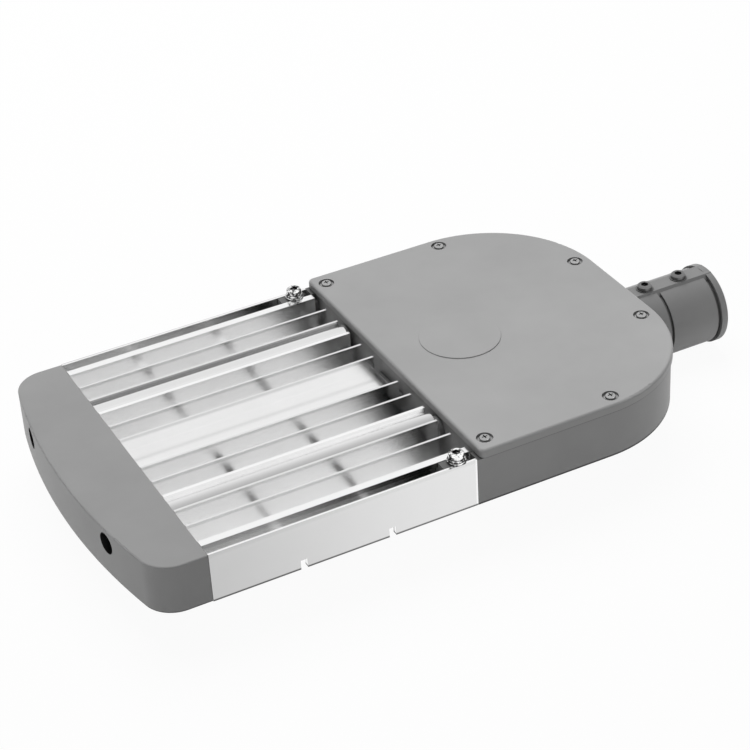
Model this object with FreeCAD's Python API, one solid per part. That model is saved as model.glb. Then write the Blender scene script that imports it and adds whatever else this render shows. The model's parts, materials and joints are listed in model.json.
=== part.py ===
"""LED street light head for a horizontal pole end.

An extruded, finned aluminium heat sink carries three lens modules underneath.
A die-cast cap closes its free end. A die-cast driver housing joins its other
end, and a flat cover closes the housing from above. A second casting with the
socket for the pole is screwed to the housing's rear wall and floor.

Working frame: X runs along the head from the free end to the pole, with zero
at the joint between heat sink and housing. Y runs across, with zero at the
plane of symmetry. Z runs up, with zero at the lower edge of the side walls.
Every piece is moved at the end, so that the origin lies on the pole socket's
axis at its mouth. All lengths are in millimetres.
"""

import FreeCAD, Part
import math
import os

V = FreeCAD.Vector
ALONG_X = V(1, 0, 0)
UP = V(0, 0, 1)
TINY = 0.01
OVERCUT = 1.0

# Overall sizes
WIDTH = 310.0
SINK_LENGTH = 233.5
SECTION_HEIGHT = 44.5
HALF = WIDTH / 2

# Clearances shared by mating pieces
JOINT_GAP = 0.3
SLIDE_GAP = 0.4
SCREW_GAP = 0.05
SEAM_GAP = 0.4

# Heat sink profile
FIN_PITCH = 22.4
FIN_COUNT_SIDE = 5
FIN_THICKNESS = 2.2
STOUT_FIN = 3
STOUT_FIN_THICKNESS = 3.2
BASE_BOTTOM = 4.0
BASE_TOP = 8.0
SKIRT_THICKNESS = 5.0
DUCT_TOP = 32.0
DUCT_ROOF = 3.0
INNER_WALL_THICKNESS = 3.0
OUTER_WALL_THICKNESS = 2.7
SLOT_MOUTH = 10.8
LIP_WIDTH = 4.1
LIP_DEPTH = 4.5

# Screw tubes of the heat sink, which take the long screws at both ends
TUBE_OVERLAP = 0.4
TUBE_AXIS_Z = 33.8
PORT_OFFSET_Y = 4.2
PORT_Z = 31.0

# Cross grooves between the lens modules
MODULE_COUNT = 3
GROOVE_WIDTH = 6.0
GROOVE_TOP = 8.5

# Screws with an M8, M6, M5, M4 and M3 thread
M8_RADIUS = 4.0
M8_HEAD_RADIUS = 6.5
M8_HEAD = 8.0
M8_LOW_HEAD = 5.0
M8_KEY = 6.0
HEAD_CHAMFER = 1.2
M6_RADIUS = 3.0
M6_HEAD_RADIUS = 5.0
M6_LOW_HEAD = 2.8
M6_KEY = 4.0
M5_RADIUS = 2.5
M5_HEAD_RADIUS = 4.4
M5_HEAD = 2.6
M4_RADIUS = 2.0
M4_HEAD_RADIUS = 3.6
M4_HEAD = 2.4
M3_RADIUS = 1.5
M3_HEAD_RADIUS = 2.8
M3_HEAD = 1.6
PAN_KEY = 2.2

# End cap
CAP_LENGTH = 60.8
CAP_FRONT_RADIUS = 640.0
CAP_CORNER_RADIUS = 27.0
CAP_WALL = 3.0
CAP_TOP_ROUND = 1.6
CAP_PILLAR_WALL = 3.0
ACCESS_RADIUS = 9.1
CAP_SCREW_SEAT = 14.0
CAP_SCREW_LENGTH = 45.0
PLUG_LENGTH = 10.0

# Lens modules
MODULE_WIDTH = 262.0
MODULE_GAP = 0.3
GASKET_BAND = 6.0
BOARD_THICKNESS = 1.6
BOARD_MARGIN = 0.5
LENS_PLATE = 3.0
LENS_ROWS = 2
LENSES_PER_ROW = 6
LENS_PITCH_X = 29.0
LENS_PITCH_Y = 38.0
LENS_BASE_RADIUS = 12.0
LENS_FACE_RADIUS = 8.5
LENS_HEIGHT = 4.5
CHIP_SIZE = 5.0
CHIP_HEIGHT = 0.7
CHIP_POCKET_RADIUS = 4.5
CHIP_POCKET = 1.6
MODULE_SCREW_SPANS = 3
WIRE_HOLE_RADIUS = 9.0
PLUG_BLOCK = (12.0, 9.0)

# Driver housing
HOUSING_REAR = 234.2
HOUSING_HEIGHT = 44.0
HOUSING_WALL = 5.0
HOUSING_FLOOR = 3.0
HOUSING_FRONT = 5.0
REAR_CORNER_RADIUS = 107.0
FRONT_CORNER_RADIUS = 1.5
CHEEK_WIDTH = 12.0
FRONT_BOSS_RADIUS = 10.5
SEAL_GROOVE_WIDTH = 2.4
SEAL_GROOVE_DEPTH = 1.5
SEAL_INSET = 1.3

# Tongues of the housing, which are clamped in the side slots of the heat sink
TONGUE_LENGTH = 28.5
TONGUE_PAD_START = 6.0
TONGUE_BOTTOM = 28.0
TONGUE_ROOT_TOP = 38.0
CLAMP_X = -14.3
FLAT_WASHER_RADIUS = 8.0
FLAT_WASHER = 1.6
SPRING_WASHER_RADIUS = 7.2
SPRING_WASHER = 2.0
CLAMP_SCREW_REACH = 17.0

# Pole socket
SOCKET_REACH = 92.5
SOCKET_AXIS_Z = 2.0
SOCKET_BORE_RADIUS = 30.5
SOCKET_DEPTH = 89.0
SOCKET_RADIUS = 34.5
COLLAR_RADIUS = 36.0
NECK_RADIUS = 34.8
END_COLLAR = 6.0
NECK_COLLAR = 33.3
RELIEF_WIDTH = 3.2
RELIEF_DEPTH = 2.4
STRIP_WIDTH = 15.0
STRIP_TOP = 35.6
STRIP_FLARE = 4.0
SCREW_BOSS_RADIUS = 7.5
SCREW_BOSS_TOP = 36.4
POLE_SCREW_X = (26.5, 62.1)
POLE_SCREW_HEAD = 4.0
CHIN_LENGTH = 84.0
CHIN_TIP_RADIUS = 10.8
CHIN_WALL = 3.5
SOCKET_SCREWS = ((168.0, 7.0), (203.0, 19.0))
SOCKET_SCREW_BOSS = 5.5
SOCKET_SCREW_REACH = 7.0
SOCKET_SEAL_RADIUS = 16.2
SOCKET_SEAL_WIDTH = 2.4
SOCKET_SEAL_DEPTH = 1.5

# Cable way through the housing
CABLE_HOLE_RADIUS = 9.0
CABLE_HOLE_Z = 17.0
GROMMET_BORE = 4.0
GROMMET_FLANGE = 2.5
GROMMET_LIP = 2.0
TENON_LENGTH = 9.0
TENON_GAP = 0.8
DUCT_SEAL_START = 6.5
DUCT_SEAL_WIDTH = 3.0
DUCT_SEAL_DEPTH = 1.5
DUCT_HOLE_RADIUS = 6.0
LEAD_Z = 17.0
LEAD_RADIUS = 3.0
LEAD_BEND = 12.0
SURGE_LEAD_BEND = 8.0

# Cover
COVER_OVERHANG = 1.5
COVER_TOP = 52.0
COVER_PLATE = 3.0
COVER_CORNER_RADIUS = 5.0
COVER_EDGE_ROUND = 2.5
DISC_X = 72.5
DISC_RADIUS = 35.2
DISC_HEIGHT = 0.8
COVER_SCREWS = ((15.3, 140.8), (131.9, 143.9), (221.5, 53.6))
SCREW_RECESS_RADIUS = 7.0
SCREW_RECESS_DEPTH = 2.2
COVER_BOSS_RADIUS = 6.5
COVER_SCREW_REACH = 12.0
SEAL_RING_RADIUS = 4.6
SEAL_RING = 0.6

# Driver and what is wired to it
STANDOFF = 3.0
STANDOFF_RADIUS = 5.0
PLATE_THICKNESS = 1.5
PLATE_MARGIN = 8.0
PLATE_SCREWS = ((36.0, 102.0), (118.0, 102.0))
DRIVER_X = 77.0
DRIVER_WIDTH = 66.0
DRIVER_LENGTH = 172.0
DRIVER_HEIGHT = 33.0
DRIVER_FOOT = 11.0
DRIVER_FOOT_THICKNESS = 2.5
DRIVER_SCREW_SPREAD = 17.0
DRIVER_EDGE_ROUND = 2.5
BLOCK_X = 186.0
BLOCK_SIZE = (20.0, 46.0, 17.0)
BLOCK_WAYS = 3
SURGE_CENTRE = (160.0, 72.0)
SURGE_SIZE = (30.0, 48.0, 26.0)
GRIP_X = 213.0
GRIP_SIZE = (10.0, 42.0, 3.0)
GRIP_ARCH = 6.5
EARTH_CENTRE = (186.0, -58.0)
LEAD_CLEAR = 14.0


def box(x0, x1, y0, y1, z0, z1):
    """A block between two corners."""
    return Part.makeBox(x1 - x0, y1 - y0, z1 - z0, V(x0, y0, z0))


def post(x, y, z0, z1, radius):
    """An upright cylinder."""
    return Part.makeCylinder(radius, z1 - z0, V(x, y, z0), UP)


def rod(x0, x1, y, z, radius):
    """A cylinder along X."""
    return Part.makeCylinder(radius, x1 - x0, V(x0, y, z), ALONG_X)


def hex_prism(centre, direction, flats, depth):
    """A six-sided prism that starts at centre and runs along direction."""
    radius = flats / math.sqrt(3)
    points = [V(radius * math.cos(math.radians(60 * i)),
                radius * math.sin(math.radians(60 * i)), 0) for i in range(7)]
    prism = Part.Face(Part.makePolygon(points)).extrude(V(0, 0, depth))
    prism.Placement = FreeCAD.Placement(centre, FreeCAD.Rotation(UP, direction))
    return prism


def outline(corners):
    """A closed outline through (x, y, radius) corners, each one rounded."""
    edges = []
    joints = []
    count = len(corners)
    for i, (x, y, radius) in enumerate(corners):
        here = V(x, y, 0)
        before = (V(*corners[i - 1][:2], 0) - here).normalize()
        after = (V(*corners[(i + 1) % count][:2], 0) - here).normalize()
        half_angle = before.getAngle(after) / 2
        reach = radius / math.tan(half_angle)
        start = here + before * reach
        end = here + after * reach
        middle = here + (before + after).normalize() * (radius / math.sin(half_angle) - radius)
        joints.append((start, middle, end))
    for i, (start, middle, end) in enumerate(joints):
        edges.append(Part.Arc(start, middle, end).toShape())
        following = joints[(i + 1) % count][0]
        if (following - end).Length > TINY:
            edges.append(Part.LineSegment(end, following).toShape())
    return Part.Wire(edges)


def prism(corners, z0, z1):
    """A flat-ended block with a rounded outline."""
    face = Part.Face(outline(corners))
    face.translate(V(0, 0, z0))
    return face.extrude(V(0, 0, z1 - z0))


def joined(first, others):
    """Several overlapping solids as one."""
    return first.multiFuse(others).removeSplitter()


def both_sides(shape):
    """A shape and its mirror image across the plane of symmetry."""
    return [shape, shape.mirror(V(0, 0, 0), V(0, 1, 0))]


def edges_where(shape, test):
    """The edges whose box passes a test."""
    return [edge for edge in shape.Edges if test(edge.BoundBox)]


def socket_screw(base, direction, radius, reach, head_radius, head, key):
    """A hexagon socket cap screw, seated at base, with its head along direction."""
    shank = Part.makeCylinder(radius, reach, base - direction * reach, direction)
    chamfer = min(HEAD_CHAMFER, head / 3)
    cap = Part.makeCylinder(head_radius, head - chamfer, base, direction)
    crown = Part.makeCone(head_radius, head_radius - chamfer, chamfer,
                          base + direction * (head - chamfer), direction)
    cap = cap.fuse(crown)
    socket = hex_prism(base + direction * (head * 0.4), direction, key, head)
    return cap.fuse(shank).removeSplitter().cut(socket)


def pan_screw(x, y, seat, radius, reach, head_radius, head):
    """An upright pan head screw with a cross recess."""
    cap = post(x, y, seat, seat + head, head_radius)
    rim = edges_where(cap, lambda b: b.ZLength < TINY and b.ZMin > seat + TINY)
    cap = cap.makeFillet(head * 0.55, rim)
    shank = post(x, y, seat - reach, seat, radius)
    arm = PAN_KEY / 2
    wing = head_radius * 0.55
    cross = box(x - wing, x + wing, y - arm / 2, y + arm / 2, seat + head * 0.4, seat + head + OVERCUT)
    cross = cross.fuse(box(x - arm / 2, x + arm / 2, y - wing, y + wing,
                           seat + head * 0.4, seat + head + OVERCUT))
    return cap.fuse(shank).removeSplitter().cut(cross)


def washer(x, y, z, radius, hole, thickness):
    """A flat ring lying at height z."""
    ring = post(x, y, z, z + thickness, radius)
    return ring.cut(post(x, y, z - OVERCUT, z + thickness + OVERCUT, hole))


# Places that follow from the sizes above
INNER_WALL = HALF - OUTER_WALL_THICKNESS - SLOT_MOUTH
WALL_FACE = INNER_WALL - LIP_WIDTH - INNER_WALL_THICKNESS
CLAMP_Y = HALF - OUTER_WALL_THICKNESS - SLOT_MOUTH / 2
GAP_NEAR = STOUT_FIN * FIN_PITCH + STOUT_FIN_THICKNESS / 2
GAP_FAR = (STOUT_FIN + 1) * FIN_PITCH - FIN_THICKNESS / 2
TUBE_Y = (GAP_NEAR + GAP_FAR) / 2
TUBE_RADIUS = (GAP_FAR - GAP_NEAR) / 2 + TUBE_OVERLAP
PORT_Y = TUBE_Y + PORT_OFFSET_Y
DUCT_HALF = FIN_PITCH - FIN_THICKNESS / 2
DUCT_CEILING = DUCT_TOP - DUCT_ROOF
MODULE_PITCH = SINK_LENGTH / MODULE_COUNT
MODULE_LENGTH = MODULE_PITCH - GROOVE_WIDTH - MODULE_GAP
MODULE_X = [-(i + 0.5) * MODULE_PITCH for i in range(MODULE_COUNT)]
LENS_TOP = BASE_BOTTOM - BOARD_THICKNESS
CAP_BACK = -SINK_LENGTH - JOINT_GAP
CAP_FRONT = CAP_BACK - CAP_LENGTH
COVER_BOTTOM = HOUSING_HEIGHT + SEAM_GAP
INSIDE_FRONT = HOUSING_FRONT + HOUSING_WALL
MOUTH = HOUSING_REAR + SOCKET_REACH
BORE_END = MOUTH - SOCKET_DEPTH
CABLE_WALL_END = BORE_END - GROMMET_LIP - JOINT_GAP
PLATE_BOTTOM = HOUSING_FLOOR + STANDOFF
PLATE_TOP = PLATE_BOTTOM + PLATE_THICKNESS
COVER_FRONT = HOUSING_FRONT - COVER_OVERHANG
LEAD_COLUMN = INSIDE_FRONT + LEAD_BEND + 2 * LEAD_RADIUS


def fin_steps(index):
    """The profile's path up one fin and down again."""
    thickness = STOUT_FIN_THICKNESS if index == STOUT_FIN else FIN_THICKNESS
    near = index * FIN_PITCH - thickness / 2
    far = index * FIN_PITCH + thickness / 2
    foot = DUCT_TOP if index == 1 else BASE_TOP
    return [(near, foot), (near, SECTION_HEIGHT), (far, SECTION_HEIGHT), (far, BASE_TOP)]


def half_profile():
    """One half of the heat sink's outline, from the centre outwards."""
    path = [step for index in range(1, FIN_COUNT_SIDE + 1) for step in fin_steps(index)]
    wall_back = WALL_FACE + INNER_WALL_THICKNESS
    lip_bottom = SECTION_HEIGHT - LIP_DEPTH
    outer_face = HALF - OUTER_WALL_THICKNESS
    path += [(WALL_FACE, BASE_TOP), (WALL_FACE, SECTION_HEIGHT), (INNER_WALL, SECTION_HEIGHT),
             (INNER_WALL, lip_bottom), (wall_back, lip_bottom), (wall_back, BASE_TOP),
             (outer_face, BASE_TOP), (outer_face, SECTION_HEIGHT), (HALF, SECTION_HEIGHT),
             (HALF, 0), (HALF - SKIRT_THICKNESS, 0), (HALF - SKIRT_THICKNESS, BASE_BOTTOM)]
    return path


def heat_sink():
    """The finned extrusion with its screw tubes, wire duct and cross grooves."""
    half = half_profile()
    whole = half + [(-y, z) for y, z in reversed(half)]
    points = [V(-SINK_LENGTH, y, z) for y, z in whole + whole[:1]]
    body = Part.Face(Part.makePolygon(points)).extrude(V(SINK_LENGTH, 0, 0))
    tubes = both_sides(rod(-SINK_LENGTH, 0, TUBE_Y, TUBE_AXIS_Z, TUBE_RADIUS))
    body = joined(body, tubes)
    cuts = both_sides(rod(-SINK_LENGTH - OVERCUT, OVERCUT, PORT_Y, PORT_Z, M8_RADIUS + SCREW_GAP))
    cuts.append(box(-SINK_LENGTH - OVERCUT, OVERCUT, -DUCT_HALF, DUCT_HALF, BASE_TOP, DUCT_CEILING))
    for i in range(1, MODULE_COUNT):
        middle = -i * MODULE_PITCH
        inner = FIN_PITCH + FIN_THICKNESS / 2 + OVERCUT
        cuts += both_sides(box(middle - GROOVE_WIDTH / 2, middle + GROOVE_WIDTH / 2,
                               inner, HALF + OVERCUT, -OVERCUT, GROOVE_TOP))
    for x in MODULE_X:
        cuts.append(post(x, 0, BASE_BOTTOM - OVERCUT, BASE_TOP + OVERCUT, WIRE_HOLE_RADIUS))
        cuts += [post(sx, sy, BASE_BOTTOM - OVERCUT, BASE_TOP - TINY, M3_RADIUS + SCREW_GAP)
                 for sx, sy in module_screw_places(x)]
    return body.cut(cuts)


def end_cap():
    """The hollow end casting with a bowed front and two deep screw holes."""
    bow = CAP_FRONT_RADIUS - math.sqrt(CAP_FRONT_RADIUS ** 2 - HALF ** 2)
    corner = CAP_FRONT + bow
    edges = [Part.LineSegment(V(corner, HALF, 0), V(CAP_BACK, HALF, 0)).toShape(),
             Part.LineSegment(V(CAP_BACK, HALF, 0), V(CAP_BACK, -HALF, 0)).toShape(),
             Part.LineSegment(V(CAP_BACK, -HALF, 0), V(corner, -HALF, 0)).toShape(),
             Part.Arc(V(corner, -HALF, 0), V(CAP_FRONT, 0, 0), V(corner, HALF, 0)).toShape()]
    face = Part.Face(Part.Wire(edges))
    body = face.extrude(V(0, 0, SECTION_HEIGHT))
    upright = edges_where(body, lambda b: b.ZLength > SECTION_HEIGHT - TINY and b.XMax < corner + TINY)
    body = body.makeFillet(CAP_CORNER_RADIUS, upright)
    hollow = body.makeOffsetShape(-CAP_WALL, TINY, join=2)
    hollow = hollow.fuse(hollow.translated(V(CAP_WALL + OVERCUT, 0, 0)))
    rim = edges_where(body, lambda b: b.ZLength < TINY and b.XMin < CAP_BACK - TINY)
    body = body.makeFillet(CAP_TOP_ROUND, rim)
    pillar = rod(CAP_FRONT, CAP_BACK, PORT_Y, PORT_Z, ACCESS_RADIUS + CAP_PILLAR_WALL)
    body = joined(body.cut(hollow), [piece.common(body) for piece in both_sides(pillar)])
    cuts = both_sides(rod(CAP_FRONT - OVERCUT, CAP_BACK - CAP_SCREW_SEAT,
                          PORT_Y, PORT_Z, ACCESS_RADIUS))
    cuts += both_sides(rod(CAP_FRONT, CAP_BACK + OVERCUT, PORT_Y, PORT_Z, M8_RADIUS + SLIDE_GAP))
    return body.cut(cuts)


def end_cap_screws():
    """Two long screws that hold the end cap to the screw tubes."""
    return [socket_screw(V(CAP_BACK - CAP_SCREW_SEAT, y, PORT_Z), V(-1, 0, 0), M8_RADIUS,
                         CAP_SCREW_LENGTH, M8_HEAD_RADIUS, M8_HEAD, M8_KEY)
            for y in (-PORT_Y, PORT_Y)]


def duct_plug():
    """A soft stopper in the free end of the wire duct."""
    body = box(-SINK_LENGTH, -SINK_LENGTH + PLUG_LENGTH, -DUCT_HALF + JOINT_GAP, DUCT_HALF - JOINT_GAP,
               BASE_TOP, DUCT_CEILING - JOINT_GAP)
    edges = edges_where(body, lambda b: b.XLength > PLUG_LENGTH - TINY)
    return [body.makeFillet(OVERCUT, edges)]


def module_corners(x, inset):
    """The rounded rectangle of one lens module, drawn in from its edge by inset."""
    dx = MODULE_LENGTH / 2 - inset
    dy = MODULE_WIDTH / 2 - inset
    radius = max(4.0 - inset, 1.0)
    return [(x - dx, -dy, radius), (x + dx, -dy, radius), (x + dx, dy, radius), (x - dx, dy, radius)]


def module_screw_places(x):
    """Screw centres in the middle of a module's gasket band."""
    dx = MODULE_LENGTH / 2 - GASKET_BAND / 2
    dy = MODULE_WIDTH / 2 - GASKET_BAND / 2
    rows = [dy * (2 * i / MODULE_SCREW_SPANS - 1) for i in range(MODULE_SCREW_SPANS + 1)]
    return [(x + side * dx, y) for side in (-1, 1) for y in rows]


def lens_places(x):
    """Centres of the lenses of one module."""
    return [(x + (row - (LENS_ROWS - 1) / 2) * LENS_PITCH_X,
             (i - (LENSES_PER_ROW - 1) / 2) * LENS_PITCH_Y)
            for row in range(LENS_ROWS) for i in range(LENSES_PER_ROW)]


def led_board(x):
    """One aluminium circuit board."""
    return prism(module_corners(x, GASKET_BAND + BOARD_MARGIN), LENS_TOP, BASE_BOTTOM)


def led_chips(x):
    """The light sources under one board."""
    half = CHIP_SIZE / 2
    return [box(cx - half, cx + half, cy - half, cy + half, LENS_TOP - CHIP_HEIGHT, LENS_TOP)
            for cx, cy in lens_places(x)]


def lens_panel(x):
    """One clear moulding with a lens over each light source."""
    plate = prism(module_corners(x, 0), LENS_TOP - LENS_PLATE, LENS_TOP)
    bottom = LENS_TOP - LENS_PLATE
    lenses = [Part.makeCone(LENS_FACE_RADIUS, LENS_BASE_RADIUS, LENS_HEIGHT,
                            V(cx, cy, bottom - LENS_HEIGHT), UP) for cx, cy in lens_places(x)]
    pockets = [post(cx, cy, LENS_TOP - CHIP_POCKET, LENS_TOP + OVERCUT, CHIP_POCKET_RADIUS)
               for cx, cy in lens_places(x)]
    holes = [post(sx, sy, bottom - OVERCUT, LENS_TOP + OVERCUT, M3_RADIUS + SLIDE_GAP)
             for sx, sy in module_screw_places(x)]
    return joined(plate, lenses).cut(pockets + holes)


def lens_gasket(x):
    """The soft seal between one lens panel and the heat sink."""
    band = prism(module_corners(x, 0), LENS_TOP, BASE_BOTTOM)
    window = prism(module_corners(x, GASKET_BAND), LENS_TOP - OVERCUT, BASE_BOTTOM + OVERCUT)
    holes = [post(sx, sy, LENS_TOP - OVERCUT, BASE_BOTTOM + OVERCUT, M3_RADIUS + SLIDE_GAP)
             for sx, sy in module_screw_places(x)]
    return band.cut([window] + holes)


def module_screws():
    """The screws that hold all lens panels up against the heat sink."""
    seat = LENS_TOP - LENS_PLATE
    reach = BASE_TOP - 2 * TINY - seat - JOINT_GAP
    screws = []
    for x in MODULE_X:
        for sx, sy in module_screw_places(x):
            screws.append(socket_screw(V(sx, sy, seat), V(0, 0, -1), M3_RADIUS, reach,
                                       M3_HEAD_RADIUS, M3_HEAD, M3_RADIUS))
    return screws


def board_plugs():
    """The wire plugs that stand on the boards and reach up into the duct."""
    dx, dy = PLUG_BLOCK
    return [box(x - dx / 2, x + dx / 2, -dy / 2, dy / 2, BASE_BOTTOM, LEAD_Z - LEAD_RADIUS)
            for x in MODULE_X]


def housing_corners(front, inset, front_radius):
    """The housing's outline from front to rear, with its sides drawn in by inset."""
    half = HALF - inset
    rear = HOUSING_REAR - inset
    radius = REAR_CORNER_RADIUS - inset
    return [(front, -half, front_radius), (rear, -half, radius),
            (rear, half, radius), (front, half, front_radius)]


def tongue():
    """One tongue that slides under the lip of a side slot, with a pad at its end."""
    outer = HALF - OUTER_WALL_THICKNESS - SLIDE_GAP
    inner = INNER_WALL + SLIDE_GAP
    hook = INNER_WALL - LIP_WIDTH + SLIDE_GAP
    lip_bottom = SECTION_HEIGHT - LIP_DEPTH - SLIDE_GAP
    root = box(-TONGUE_LENGTH, HOUSING_FRONT + OVERCUT, hook, outer, TONGUE_BOTTOM, TONGUE_ROOT_TOP)
    web = box(-TONGUE_LENGTH, -TONGUE_PAD_START, hook, outer, TONGUE_BOTTOM, lip_bottom)
    pad = box(-TONGUE_LENGTH, -TONGUE_PAD_START, inner, outer, TONGUE_BOTTOM,
              SECTION_HEIGHT - JOINT_GAP)
    return root.fuse([web, pad]).removeSplitter()


def socket_screw_places():
    """Centres of the screws that hold the socket casting under the housing's floor."""
    return [(x, y * side) for x, y in SOCKET_SCREWS for side in (-1, 1)]


def socket_shell():
    """The pole socket with its collars, flat strip, screw bosses and tapered chin."""
    z = SOCKET_AXIS_Z
    tube = rod(HOUSING_REAR, MOUTH, 0, z, SOCKET_RADIUS)
    for start in (HOUSING_REAR + NECK_COLLAR, MOUTH - END_COLLAR - RELIEF_WIDTH):
        groove = rod(start, start + RELIEF_WIDTH, 0, z, SOCKET_RADIUS + OVERCUT)
        tube = tube.cut(groove.cut(rod(start, start + RELIEF_WIDTH, 0, z,
                                       SOCKET_RADIUS - RELIEF_DEPTH)))
    neck = rod(HOUSING_REAR, HOUSING_REAR + NECK_COLLAR, 0, z, NECK_RADIUS)
    end = rod(MOUTH - END_COLLAR, MOUTH, 0, z, COLLAR_RADIUS)
    side = STRIP_WIDTH / 2
    foot = side + STRIP_FLARE
    corners = [(-foot, SOCKET_BORE_RADIUS), (foot, SOCKET_BORE_RADIUS), (side, STRIP_TOP),
               (-side, STRIP_TOP), (-foot, SOCKET_BORE_RADIUS)]
    section = Part.makePolygon([V(HOUSING_REAR, y, z + up) for y, up in corners])
    strip = Part.Face(section).extrude(V(MOUTH - HOUSING_REAR, 0, 0))
    bosses = [post(HOUSING_REAR + dx, 0, z + SOCKET_BORE_RADIUS - OVERCUT, z + SCREW_BOSS_TOP,
                   SCREW_BOSS_RADIUS) for dx in POLE_SCREW_X]
    chin = Part.makeCone(CHIN_TIP_RADIUS, NECK_RADIUS, CHIN_LENGTH,
                         V(HOUSING_REAR - CHIN_LENGTH, 0, z), ALONG_X)
    above = box(0, HOUSING_REAR, -HALF, HALF, 0, HOUSING_HEIGHT)
    return joined(tube, [neck, end, strip, chin.cut(above)] + bosses)


def chin_hollow():
    """The hollow of the chin, with the bosses of its screws left standing."""
    slope = (NECK_RADIUS - CHIN_TIP_RADIUS) / CHIN_LENGTH
    start = HOUSING_REAR - CHIN_LENGTH + CHIN_WALL
    length = HOUSING_REAR - start
    tip = CHIN_TIP_RADIUS - CHIN_WALL + slope * CHIN_WALL
    hollow = Part.makeCone(tip, tip + slope * length, length,
                           V(start, 0, SOCKET_AXIS_Z), ALONG_X)
    bosses = [post(x, y, -COLLAR_RADIUS, COLLAR_RADIUS, SOCKET_SCREW_BOSS)
              for x, y in socket_screw_places()]
    return hollow.cut(bosses)


def socket_seal_ring(depth):
    """The band round the cable hole between housing and socket casting."""
    outer = rod(HOUSING_REAR, HOUSING_REAR + depth, 0, CABLE_HOLE_Z, SOCKET_SEAL_RADIUS)
    inner = rod(HOUSING_REAR, HOUSING_REAR + depth, 0, CABLE_HOLE_Z,
                SOCKET_SEAL_RADIUS - SOCKET_SEAL_WIDTH)
    return outer.cut(inner)


def cable_hole(x0, x1):
    """The round way of the supply cable between two places along X."""
    return rod(x0, x1, 0, CABLE_HOLE_Z, CABLE_HOLE_RADIUS)


def socket_casting():
    """The casting that takes the pole's end, screwed to the driver housing."""
    z = SOCKET_AXIS_Z
    cuts = [rod(BORE_END, MOUTH + OVERCUT, 0, z, SOCKET_BORE_RADIUS),
            cable_hole(HOUSING_REAR - OVERCUT, BORE_END + OVERCUT),
            rod(CABLE_WALL_END, BORE_END + OVERCUT, 0, CABLE_HOLE_Z,
                CABLE_HOLE_RADIUS + GROMMET_FLANGE + JOINT_GAP),
            socket_seal_ring(SOCKET_SEAL_DEPTH),
            chin_hollow()]
    cuts += [post(HOUSING_REAR + dx, 0, z, z + COLLAR_RADIUS + OVERCUT, M8_RADIUS + SCREW_GAP)
             for dx in POLE_SCREW_X]
    cuts += [post(x, y, -SOCKET_SCREW_REACH - JOINT_GAP, OVERCUT, M6_RADIUS + SCREW_GAP)
             for x, y in socket_screw_places()]
    return socket_shell().cut(cuts)


def socket_seal():
    """The soft ring that keeps water out of the cable hole."""
    return [socket_seal_ring(SOCKET_SEAL_DEPTH)]


def socket_screws():
    """Four screws from inside the housing that hold the socket casting."""
    return [socket_screw(V(x, y, HOUSING_FLOOR), UP, M6_RADIUS, HOUSING_FLOOR + SOCKET_SCREW_REACH,
                         M6_HEAD_RADIUS, M6_LOW_HEAD, M6_KEY) for x, y in socket_screw_places()]


def duct_block(x0, x1, inset):
    """A block in the wire duct, drawn in from the duct's walls by inset."""
    side = DUCT_HALF - inset
    return box(x0, x1, -side, side, BASE_TOP + inset, DUCT_CEILING - inset)


def front_wall_parts():
    """The cheeks, screw bosses and duct tenon in front of the housing's front wall."""
    parts = both_sides(rod(JOINT_GAP, INSIDE_FRONT, PORT_Y, PORT_Z, FRONT_BOSS_RADIUS))
    tenon = duct_block(-TENON_LENGTH, INSIDE_FRONT, TENON_GAP)
    parts.append(tenon.cut(duct_seal()))
    parts += both_sides(box(JOINT_GAP, INSIDE_FRONT, HALF - CHEEK_WIDTH, HALF, 0, HOUSING_HEIGHT))
    return parts


def standoffs():
    """The bosses on the housing's floor, as (x, y, top, radius, hole radius)."""
    places = [(x, y * side, PLATE_BOTTOM, STANDOFF_RADIUS, M4_RADIUS)
              for x, y in PLATE_SCREWS for side in (-1, 1)]
    reach = BLOCK_SIZE[1] / 2 + STANDOFF_RADIUS
    places += [(BLOCK_X, y, PLATE_BOTTOM, STANDOFF_RADIUS, M3_RADIUS) for y in (-reach, reach)]
    grip = GRIP_SIZE[1] / 2 - STANDOFF_RADIUS
    places += [(GRIP_X, y, CABLE_HOLE_Z - M4_RADIUS, STANDOFF_RADIUS, M3_RADIUS)
               for y in (-grip, grip)]
    places.append((*EARTH_CENTRE, PLATE_BOTTOM, STANDOFF_RADIUS, M4_RADIUS))
    return places


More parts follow.
